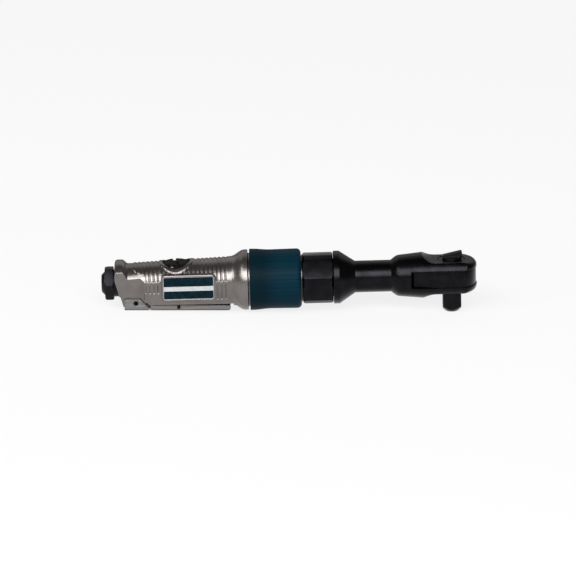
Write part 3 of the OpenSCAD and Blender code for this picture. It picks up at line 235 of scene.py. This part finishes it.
# %% Sleeve rubber
sleeve_rubber = new_finish("rubber_moulded_sleeve", tones=("#041a23", "#062b39"), rough=(0.38, 0.52),
                           grains_mm=(1, 1.5, 0.5), relief=(0.05, 0.3), IOR=1.5, Specular_IOR_Level=0.04)
tree = sleeve_rubber.node_tree
place = add(tree, "ShaderNodeTexCoord").outputs["Object"]
axes = add(tree, "ShaderNodeSeparateXYZ", {"Vector": place}).outputs
angle = add(tree, "ShaderNodeMath", {0: axes["Y"], 1: axes["Z"]}, operation="ARCTAN2")
streaks = tree.nodes["tone_grain"]
streaks.noise_dimensions = "1D"
streaks.inputs["Scale"].default_value = 17.0
streaks.inputs["Detail"].default_value = 5.0
tree.links.new(angle.outputs["Value"], streaks.inputs["W"])
fade = add(tree, "ShaderNodeMapRange", {"Value": axes["X"]}, {"From Min": 106 * MM, "From Max": 122 * MM})
wiped = add(tree, "ShaderNodeMath", {0: streaks.outputs["Fac"], 1: fade.outputs["Result"]},
            operation="MULTIPLY")
tree.links.new(wiped.outputs["Value"], tree.nodes["tones"].inputs["Fac"])
for element, position in zip(tree.nodes["tones"].color_ramp.elements, (0.2, 0.75)):
    element.position = position
print("streaks start at X %.0f mm" % (fade.inputs["From Min"].default_value / MM))

# %% [markdown]
# Printed film on a thin plate, for the label: a plain field with a pale band and a thin border. One material
# with a mask could hold all three. Three finishes on faces of their own are simpler and keep sharp edges: a
# satin sea-blue ink, a white ink and the bare silver film.

# %% Label film
label_ink = new_finish("film_printed_blue", tones=("#04151c", "#082029"), rough=(0.28, 0.42),
                       grains_mm=(3, 1.2, 0.5), relief=(0.02, 0.2), IOR=1.5, Specular_IOR_Level=0.06)
label_silver = new_finish("film_bare_silver", tones=("#97989a", "#acadae"), rough=(0.3, 0.42),
                          grains_mm=(2, 0.8), Metallic=0.7)
label_white = new_finish("film_printed_white", tones=("#aeb1b3", "#bcbdbf"), rough=(0.3, 0.45),
                         grains_mm=(2, 1.2), IOR=1.5, Specular_IOR_Level=0.2)

# %% [markdown]
# Moulded acetal for the regulator dial: black and slippery, with the fine pits of the mould. Its highlights
# are weaker than a metal's, so it is a plain dark plastic with little specular. The pits are finer than the
# picture shows, so they are drawn at half a millimetre.

# %% Dial plastic
dial_plastic = new_finish("acetal_moulded_black", tones=("#0c0c0d", "#151517"), rough=(0.36, 0.5),
                          grains_mm=(4, 1, 0.5), relief=(0.03, 0.25), IOR=1.48, Specular_IOR_Level=0.03)

# %% [markdown]
# What is inside the tool is seldom seen, but it is taken apart one day: ground steel for shafts, gears and
# balls, bronze for bushes and seats, grey iron for the motor, nitrile for seals and a cloth laminate for the
# vanes. Each could have grains of its own for tone, shine and relief. One grain for all three is enough for
# what is seen so little, and it is drawn coarser than the real one, which would be too fine to see.

# %% Inner finishes
def inner_finish(name, tones, rough, grain_mm, way=even, **constants):
    return new_finish(name, tones, rough, grains_mm=(grain_mm,) * 3, relief=(0.02, 0.25), ways=(way,) * 3,
                      **constants)


lathe_way = (1, 0.1, 0.1)
ground_steel = inner_finish("steel_ground", ("#a9a8a8", "#c6c6c6"), (0.18, 0.32), 0.6, lathe_way,
                            Metallic=1.0)
bronze = inner_finish("bronze_turned", ("#8f6a33", "#b08a4a"), (0.25, 0.4), 0.5, lathe_way, Metallic=1.0)
grey_iron = inner_finish("iron_ground_grey", ("#57575a", "#6f6f72"), (0.35, 0.5), 0.8, Metallic=1.0)
seal_rubber = inner_finish("nitrile_black", ("#0c0c0d", "#191919"), (0.45, 0.6), 0.6, IOR=1.5)
laminate = inner_finish("cloth_laminate_brown", ("#4a2c18", "#6b452a"), (0.4, 0.55), 0.7, IOR=1.5)

# %% [markdown]
# Copies with finer edges would be wasted on the inner pieces. Their solids already have the right shape, so
# the nodes stay as they are and only get their finish.

# %% Inner nodes
inner = {
    ground_steel: [
        "captive_ring", "inlet_screen", "valve_stem", "regulator_clip", "liner_dowel", "rotor",
        "rear_bearing_outer", "rear_bearing_inner", "rear_bearing_balls", "front_bearing_outer",
        "front_bearing_inner", "front_bearing_balls", "ring_gear", "planet_gear_1", "planet_gear_2",
        "planet_gear_3", "planet_pins", "crankshaft", "crank_bush", "pawl", "pawl_pin", "reverse_plunger",
        "plunger_spring", "drive_ball"],
    bronze: ["valve_seat", "valve_guide", "crank_rear_bearing", "crank_front_bearing", "thrust_washer"],
    grey_iron: ["rear_end_plate", "motor_liner", "front_end_plate"],
    seal_rubber: ["inlet_seal", "valve_poppet", "regulator_seal"],
    laminate: ["rotor_vanes"],
    black_dull: ["lever_pin", "anvil_retainer"],
}
for finish, names in inner.items():
    for name in names:
        slots = frame["nodes"][name].data.materials
        slots.clear()
        slots.append(finish)
print("inner nodes finished:", sum(len(names) for names in inner.values()))

# %% [markdown]
# A finer piece starts as a copy of its solid, so that it keeps every measure. Drawing it anew could drift
# from the frame. The copy's loose triangles are merged, because modifiers need faces that share their edges.
# The finished piece rides on the body of the node whose place it takes.

# %% A copy of a solid
def copy_of(node_name, piece_name):
    merge_distance = 0.002 * MM
    bpy.ops.object.select_all(action="DESELECT")
    piece = bpy.data.objects.new(piece_name, frame["nodes"][node_name].data.copy())
    bpy.context.collection.objects.link(piece)
    piece.data.materials.clear()
    piece.select_set(True)
    bpy.context.view_layer.objects.active = piece
    bpy.ops.object.mode_set(mode="EDIT")
    bpy.ops.mesh.select_all(action="SELECT")
    bpy.ops.mesh.remove_doubles(threshold=merge_distance)
    bpy.ops.object.mode_set(mode="OBJECT")
    return piece


def apply(piece, kind, **settings):
    bpy.context.view_layer.objects.active = piece
    bpy.ops.object.modifier_add(type=kind)
    modifier = piece.modifiers[-1]
    for key, value in settings.items():
        setattr(modifier, key, value)
    bpy.ops.object.modifier_apply(modifier=modifier.name)


body_of_node = {n: b for b, nodes in frame["record"]["behaviour"]["bodies"].items() for n in nodes}


def take_place(piece, node_name, finish):
    piece.data.materials.append(finish)
    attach(piece, body_of_node[node_name])
    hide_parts(node_name)
    print("%s: %d faces" % (piece.name, len(piece.data.polygons)))


# %% [markdown]
# No machined edge is a perfect corner: a deburring wheel or the forge leaves a small radius, and that radius
# catches the light that draws the piece. A bump can't give it to an outline, so the radius is modelled. Flat
# triangles of the copy are joined back into whole faces, and the sharp edges get a narrow bevel of the width
# that the real edge has.

# %% Broken edges
flat_angle = math.radians(0.4)
corner_angle = math.radians(28)
smooth_angle = math.radians(35)


def broken_edges(node_name, piece_name, finish, width_mm):
    piece = copy_of(node_name, piece_name)
    bpy.ops.object.mode_set(mode="EDIT")
    bpy.ops.mesh.select_all(action="SELECT")
    bpy.ops.mesh.dissolve_limited(angle_limit=flat_angle)
    bpy.ops.object.mode_set(mode="OBJECT")
    apply(piece, "BEVEL", width=width_mm * MM, segments=2, limit_method="ANGLE", angle_limit=corner_angle,
          miter_outer="MITER_ARC", use_clamp_overlap=True)
    bpy.ops.object.shade_smooth_by_angle(angle=smooth_angle)
    take_place(piece, node_name, finish)


# %% [markdown]
# These are the pieces that a hand or an eye meets from outside, with the width of their broken edges in
# millimetres. A forging is softer than a turned piece, stamped sheet is sharper than both, and moulded
# rubber is the softest. One width for all would be quicker, but it makes a tool look carved from one block.

# %% Machined, stamped and moulded pieces
broken_edges("ratchet_head", "head_forging", black_forged, 0.3)
broken_edges("coupling_nut", "nut_turned", black_turned, 0.25)
broken_edges("inlet_bushing", "inlet_turned", black_dull, 0.25)
broken_edges("ratchet_yoke", "yoke_forging", black_forged, 0.25)
broken_edges("anvil", "drive_anvil", black_forged, 0.3)
broken_edges("reverse_lever", "reverse_thumb_lever", black_dull, 0.3)
broken_edges("throttle_lever", "throttle_stamping", plated_sheet, 0.2)
broken_edges("regulator_dial", "regulator_knob", dial_plastic, 0.25)
broken_edges("exhaust_sleeve", "sleeve_moulding", sleeve_rubber, 0.4)

# %% [markdown]
# Some steps change only a few edges or faces of a mesh. Their numbers could be written down, but those
# change with the mesh, so a test on the points of each edge or face picks them.

# %% Picking edges and faces
def pick(piece, mode, keep):
    bpy.ops.object.mode_set(mode="EDIT")
    bpy.ops.mesh.select_mode(type=mode)
    bpy.ops.mesh.select_all(action="DESELECT")
    bpy.ops.object.mode_set(mode="OBJECT")
    for part in {"EDGE": piece.data.edges, "FACE": piece.data.polygons}[mode]:
        part.select = keep([piece.data.vertices[i].co for i in part.vertices])
    bpy.ops.object.mode_set(mode="EDIT")


# %% [markdown]
# The handle is a casting, so every edge on it is soft, inside corners too. A bevel can't reach the inside
# corners where ribs, pads and grooves run into each other, so the copy is rebuilt from small voxels instead
# and smoothed a little, which rounds all of them alike as the foundry does. The label pads come out of the
# mould with a sloping upper rim, which is drawn back first. The mesh is then thinned, because most of its
# surface is smooth.

# %% Handle casting
label_low, label_high = (Vector(corner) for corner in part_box("label_plate"))
rim = 1.0 * MM
rim_draft = 0.5 * MM
pad_slack = 0.02 * MM
rim_slack = 0.1 * MM
voxel = 0.25 * MM
kept_share = 0.17


def on_near_rim(points):
    on_pad = all(abs(p.y - label_low.y) < pad_slack for p in points)
    return on_pad and all(abs(p.z - label_high.z - rim) < rim_slack for p in points)


def on_far_rim(points):
    return on_near_rim([Vector((p.x, -p.y, p.z)) for p in points])


casting = copy_of("handle_housing", "handle_casting")
for on_rim, way in ((on_near_rim, 1), (on_far_rim, -1)):
    pick(casting, "EDGE", on_rim)
    bpy.ops.transform.translate(value=(0, way * rim_draft, 0))
    bpy.ops.object.mode_set(mode="OBJECT")
    print("rim edges drawn back:", sum(edge.select for edge in casting.data.edges))
apply(casting, "REMESH", mode="VOXEL", voxel_size=voxel)
apply(casting, "SMOOTH", factor=0.5, iterations=6)
apply(casting, "DECIMATE", ratio=kept_share)
bpy.ops.object.shade_smooth()
take_place(casting, "handle_housing", cast_aluminium)

# %% [markdown]
# Two springs close up when a piece moves: the poppet lifts against the valve's spring, and the socket ball
# sinks into its own. A stiff coil would be cut by what pushes it, and a coil wound for one length fits only
# that. Here each coil is a copy of its solid, shaded smooth, given ground steel and fixed where it stands.

# %% Springs
coil_angle = math.radians(40)


def wound_spring(node_name, piece_name):
    spring = copy_of(node_name, piece_name)
    bpy.ops.object.shade_smooth_by_angle(angle=coil_angle)
    spring.data.materials.append(ground_steel)
    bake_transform(spring)
    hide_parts(node_name)


wound_spring("valve_spring", "valve_coil")
wound_spring("detent_spring", "ball_coil")

# %% [markdown]
# The air hose screws into the inlet, so its port carries a quarter inch pipe thread, nineteen turns to the
# inch. A bump pattern could draw it, but a real ridge also shows in the mesh. A small hexagon is wound along
# the port by a screw modifier. Half of it is sunk in the wall, so a ridge with sloping flanks and a flat
# crest is left, and both ends are closed.

# %% Inlet thread
pitch = 25.4 / 19 * MM
ridge = 0.4 * MM
port_wall = 5.6 * MM
first_turn = 0.9 * MM
bpy.ops.object.select_all(action="DESELECT")
bpy.ops.mesh.primitive_circle_add(vertices=6, radius=ridge, location=(first_turn, 0, port_wall),
                                  rotation=(-math.pi / 2, math.pi / 6, 0))
thread = bpy.context.object
thread.name = "inlet_thread"
bpy.ops.object.transform_apply(location=True, rotation=True, scale=True)
apply(thread, "SCREW", axis="X", screw_offset=pitch, iterations=6, steps=48, render_steps=48)
bpy.ops.object.mode_set(mode="EDIT")
bpy.ops.mesh.select_all(action="SELECT")
bpy.ops.mesh.fill_holes(sides=6)
bpy.ops.mesh.normals_make_consistent(inside=False)
bpy.ops.object.mode_set(mode="OBJECT")
bpy.ops.object.shade_smooth_by_angle(angle=smooth_angle)
thread.data.materials.append(black_dull)
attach(thread, "housing")
print("thread: %d faces" % len(thread.data.polygons))

# %% [markdown]
# The label is a thin plate with round corners in the pad's recess. It could be a flat patch that hovers over
# the pad, but a plate has an edge that catches the light. It starts as a cube of the plate's size, its four
# upright corners are bevelled to their radius, and its face is inset for the thin border.

# %% Label plate
bpy.ops.object.select_all(action="DESELECT")
bpy.ops.mesh.primitive_cube_add(size=1, location=(label_low + label_high) / 2)
plate = bpy.context.object
plate.name = "label_film"
plate.scale = label_high - label_low
bpy.ops.object.transform_apply(location=True, rotation=True, scale=True)
same = 0.001 * MM
border = 0.45 * MM
corner_radius = 1.45 * MM


def runs_across(points):
    return abs(points[0].x - points[1].x) < same and abs(points[0].z - points[1].z) < same


def on_face(points):
    return all(abs(p.y - label_low.y) < same for p in points)


pick(plate, "EDGE", runs_across)
bpy.ops.mesh.bevel(offset=corner_radius, segments=6, affect="EDGES")
pick(plate, "FACE", on_face)
bpy.ops.mesh.inset(thickness=border)
bpy.ops.object.mode_set(mode="OBJECT")
print("label plate: %d faces" % len(plate.data.polygons))

# %% [markdown]
# The print lies inside the border. It could be an image, but a plain one needs only faces: two cuts across
# the field mark off its pale band, and every face gets its finish by where it lies.

# %% Label print
band_low = -2.6 * MM
band_high = 0.6 * MM
just_inside = Vector((1, 0, 1)) * 0.9 * border
field_low = label_low + just_inside
field_high = label_high - just_inside


def in_field(points):
    inside = all(field_low.x < p.x < field_high.x and field_low.z < p.z < field_high.z for p in points)
    return inside and on_face(points)


for band_edge in (band_low, band_high):
    pick(plate, "FACE", in_field)
    bpy.ops.mesh.bisect(plane_co=(0, 0, band_edge), plane_no=(0, 0, 1))
bpy.ops.object.mode_set(mode="OBJECT")
for finish in (label_silver, label_ink, label_white):
    plate.data.materials.append(finish)
for face in plate.data.polygons:
    points = [plate.data.vertices[i].co for i in face.vertices]
    in_band = band_low < face.center.z < band_high
    face.material_index = 0 if not in_field(points) else 2 if in_band else 1
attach(plate, "housing")
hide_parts("label_plate")
print("label print: %d faces" % len(plate.data.polygons))

# %% [markdown]
# A grey dab on the dial's rim, to the rear of its middle, is a painted highlight that stands for the rim's
# glint. It could be a spot in the dial's material, but paint stands a little proud and has its own dull
# shine.

# %% Glint paint
glint_paint = new_finish("glint_painted_grey", tones=("#6a6a6c", "#7d7d7f"), rough=(0.5, 0.65),
                        grains_mm=(0.6, 0.8), IOR=1.5, Specular_IOR_Level=0.1)

# %% [markdown]
# The dab starts as a small sphere and is squashed so flat that it clears the handle when the dial turns. Its
# inner half would be lost in the dial, so it is cut off and closed a little under the rim. A new sphere has
# its faces in another order in each run, so they are sorted first, and the cut is then always the same.

# %% Dial glint
dial_low, dial_high = (Vector(corner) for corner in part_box("regulator_dial"))
dial_axis = (dial_low + dial_high) / 2
dial_radius = (dial_high.x - dial_low.x) / 2
rearwards = math.radians(17)
sunk = 0.04 * MM
cut_below = 0.03 * MM
on_cut = 0.0001 * MM
under_top = 1.3 * MM
dab_half = (1.0 * MM, 0.06 * MM, 0.55 * MM)
outwards = Vector((-math.sin(rearwards), -math.cos(rearwards), 0))
dab_at = dial_axis + outwards * (dial_radius - sunk)
dab_at.z = dial_high.z - under_top
bpy.ops.object.select_all(action="DESELECT")
bpy.ops.mesh.primitive_uv_sphere_add(segments=24, ring_count=12, radius=1, location=dab_at,
                                     rotation=(0, 0, -rearwards), scale=dab_half)
dab = bpy.context.object
dab.name = "dial_glint_dab"
bpy.ops.object.transform_apply(location=True, rotation=True, scale=True)
bpy.ops.object.mode_set(mode="EDIT")
bpy.ops.mesh.select_all(action="SELECT")
bpy.ops.mesh.sort_elements(type="CURSOR_DISTANCE", elements={"VERT", "EDGE", "FACE"})
bpy.ops.mesh.bisect(plane_co=dab_at - outwards * cut_below, plane_no=outwards, clear_inner=True,
                    threshold=on_cut)
bpy.ops.mesh.select_all(action="SELECT")
bpy.ops.mesh.fill_holes(sides=0)
bpy.ops.mesh.normals_make_consistent(inside=False)
bpy.ops.object.mode_set(mode="OBJECT")
bpy.ops.object.shade_smooth_by_angle(angle=smooth_angle)
# The dab's pale grey on the dark dial is a painted highlight for the rim's glint.
dab.data.materials.append(glint_paint)
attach(dab, body_of_node["regulator_dial"])
print("dial mark: %d faces" % len(dab.data.polygons))

# %% [markdown]
# The studio is a wide white table. The tool stands on the tip of its drive and on the rear edge of its
# sleeve. Over a level table one of them would float, so it is laid through those two points.

# %% Table
square_inset = 6 * MM
drive_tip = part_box("anvil")[0][2]
drive_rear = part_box("anvil")[0][0] + square_inset
sleeve_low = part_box("exhaust_sleeve")[0]
slope = (drive_tip - sleeve_low[2]) / (drive_rear - sleeve_low[0])
studio_x = 130 * MM
table_drop = 0.05 * MM
table_at = Vector((studio_x, 0, sleeve_low[2] + slope * (studio_x - sleeve_low[0]) - table_drop))
bpy.ops.object.select_all(action="DESELECT")
bpy.ops.mesh.primitive_plane_add(size=40, location=table_at, rotation=(0, -math.atan(slope), 0))
table = bpy.context.object
table.name = "table"
print("table slopes %.2f degrees" % math.degrees(math.atan(slope)))

# %% [markdown]
# A sheet of paper in a photograph is brighter than its lit paint alone. More light would bleach the tool as
# well, so what the camera and the metal see of the table is part paint, which takes the shadow, and part
# plain white.

# %% Table paint
table_white = bpy.data.materials.new("table_matte_white")
table_white.use_nodes = True
tree = table_white.node_tree
paint = tree.nodes["Principled BSDF"]
paint.inputs["Base Color"].default_value = linear("#f2f2f2")
paint.inputs["Roughness"].default_value = 0.9
paint.inputs["Specular IOR Level"].default_value = 0.1
white_share = 0.8
white = add(tree, "ShaderNodeEmission", inputs={"Color": (1, 1, 1, 1), "Strength": 1.0})
path = add(tree, "ShaderNodeLightPath").outputs
seen = add(tree, "ShaderNodeMath", {0: path["Is Camera Ray"], 1: path["Is Glossy Ray"]}, operation="ADD")
seen = add(tree, "ShaderNodeMath", {0: seen.outputs["Value"], 1: path["Is Transmission Ray"]},
           operation="ADD", use_clamp=True)
share = add(tree, "ShaderNodeMath", {0: seen.outputs["Value"]}, {1: white_share}, operation="MULTIPLY")
paper = add(tree, "ShaderNodeMixShader", {0: share.outputs["Value"], 1: paint.outputs["BSDF"],
                                          2: white.outputs["Emission"]})
tree.links.new(paper.outputs["Shader"], tree.nodes["Material Output"].inputs["Surface"])
table.data.materials.append(table_white)
print("white share of the table:", white_share)

# %% [markdown]
# Three soft lights draw the tool. A wide one in front, about thirty-five degrees up and behind the camera,
# lays the bright band along the near side of every round piece. A second one to the left of it is seen in
# whatever faces that way, such as the flare of the handle and the shoulder of the head. A large dim one
# behind keeps the tops from going black. A ring of many small lamps would speckle the metal, so each is one
# broad softbox.

# %% Softboxes
def softbox(name, side, lamp_elevation, away, size, power):
    flat = Matrix.Rotation(math.radians(side), 3, "Z")
    tilt = math.radians(lamp_elevation)
    target = Vector((studio_x, 0, 0))
    lamp_at = target + flat @ Vector((0, -away * math.cos(tilt), away * math.sin(tilt)))
    bpy.ops.object.light_add(type="AREA", location=lamp_at)
    lamp = bpy.context.object
    lamp.name = name
    lamp.data.shape = "RECTANGLE"
    lamp.data.size, lamp.data.size_y = size
    lamp.data.energy = power
    lamp.rotation_euler = (target - lamp_at).to_track_quat("-Z", "Y").to_euler()
    print("%s: %d W" % (name, power))


softbox("front_softbox", side=0, lamp_elevation=34, away=3.4, size=(3.3, 2.0), power=125)
softbox("left_softbox", side=-48, lamp_elevation=34, away=3.4, size=(1.7, 2.0), power=46)
softbox("back_softbox", side=180, lamp_elevation=45, away=2.5, size=(4.0, 2.0), power=13)

# %% [markdown]
# The room around the table is dim overhead and paler towards its walls, so flat tops pick up a soft grey. An
# even grey room would be simpler, but it lifts the dark upper edge of every round piece.

# %% Room
world = bpy.data.worlds.new("studio")
world.use_nodes = True
bpy.context.scene.world = world
tree = world.node_tree
heading = add(tree, "ShaderNodeTexCoord").outputs["Generated"]
height = add(tree, "ShaderNodeSeparateXYZ", {"Vector": heading}).outputs["Z"]
room = add(tree, "ShaderNodeMapRange", {"Value": height},
           {"From Min": 0.1, "From Max": 0.75, "To Min": 0.24, "To Max": 0.13})
tree.links.new(room.outputs["Result"], tree.nodes["Background"].inputs["Strength"])
tree.nodes["Background"].inputs["Color"].default_value = (1, 1, 1, 1)
bpy.context.scene.view_settings.view_transform = "Standard"
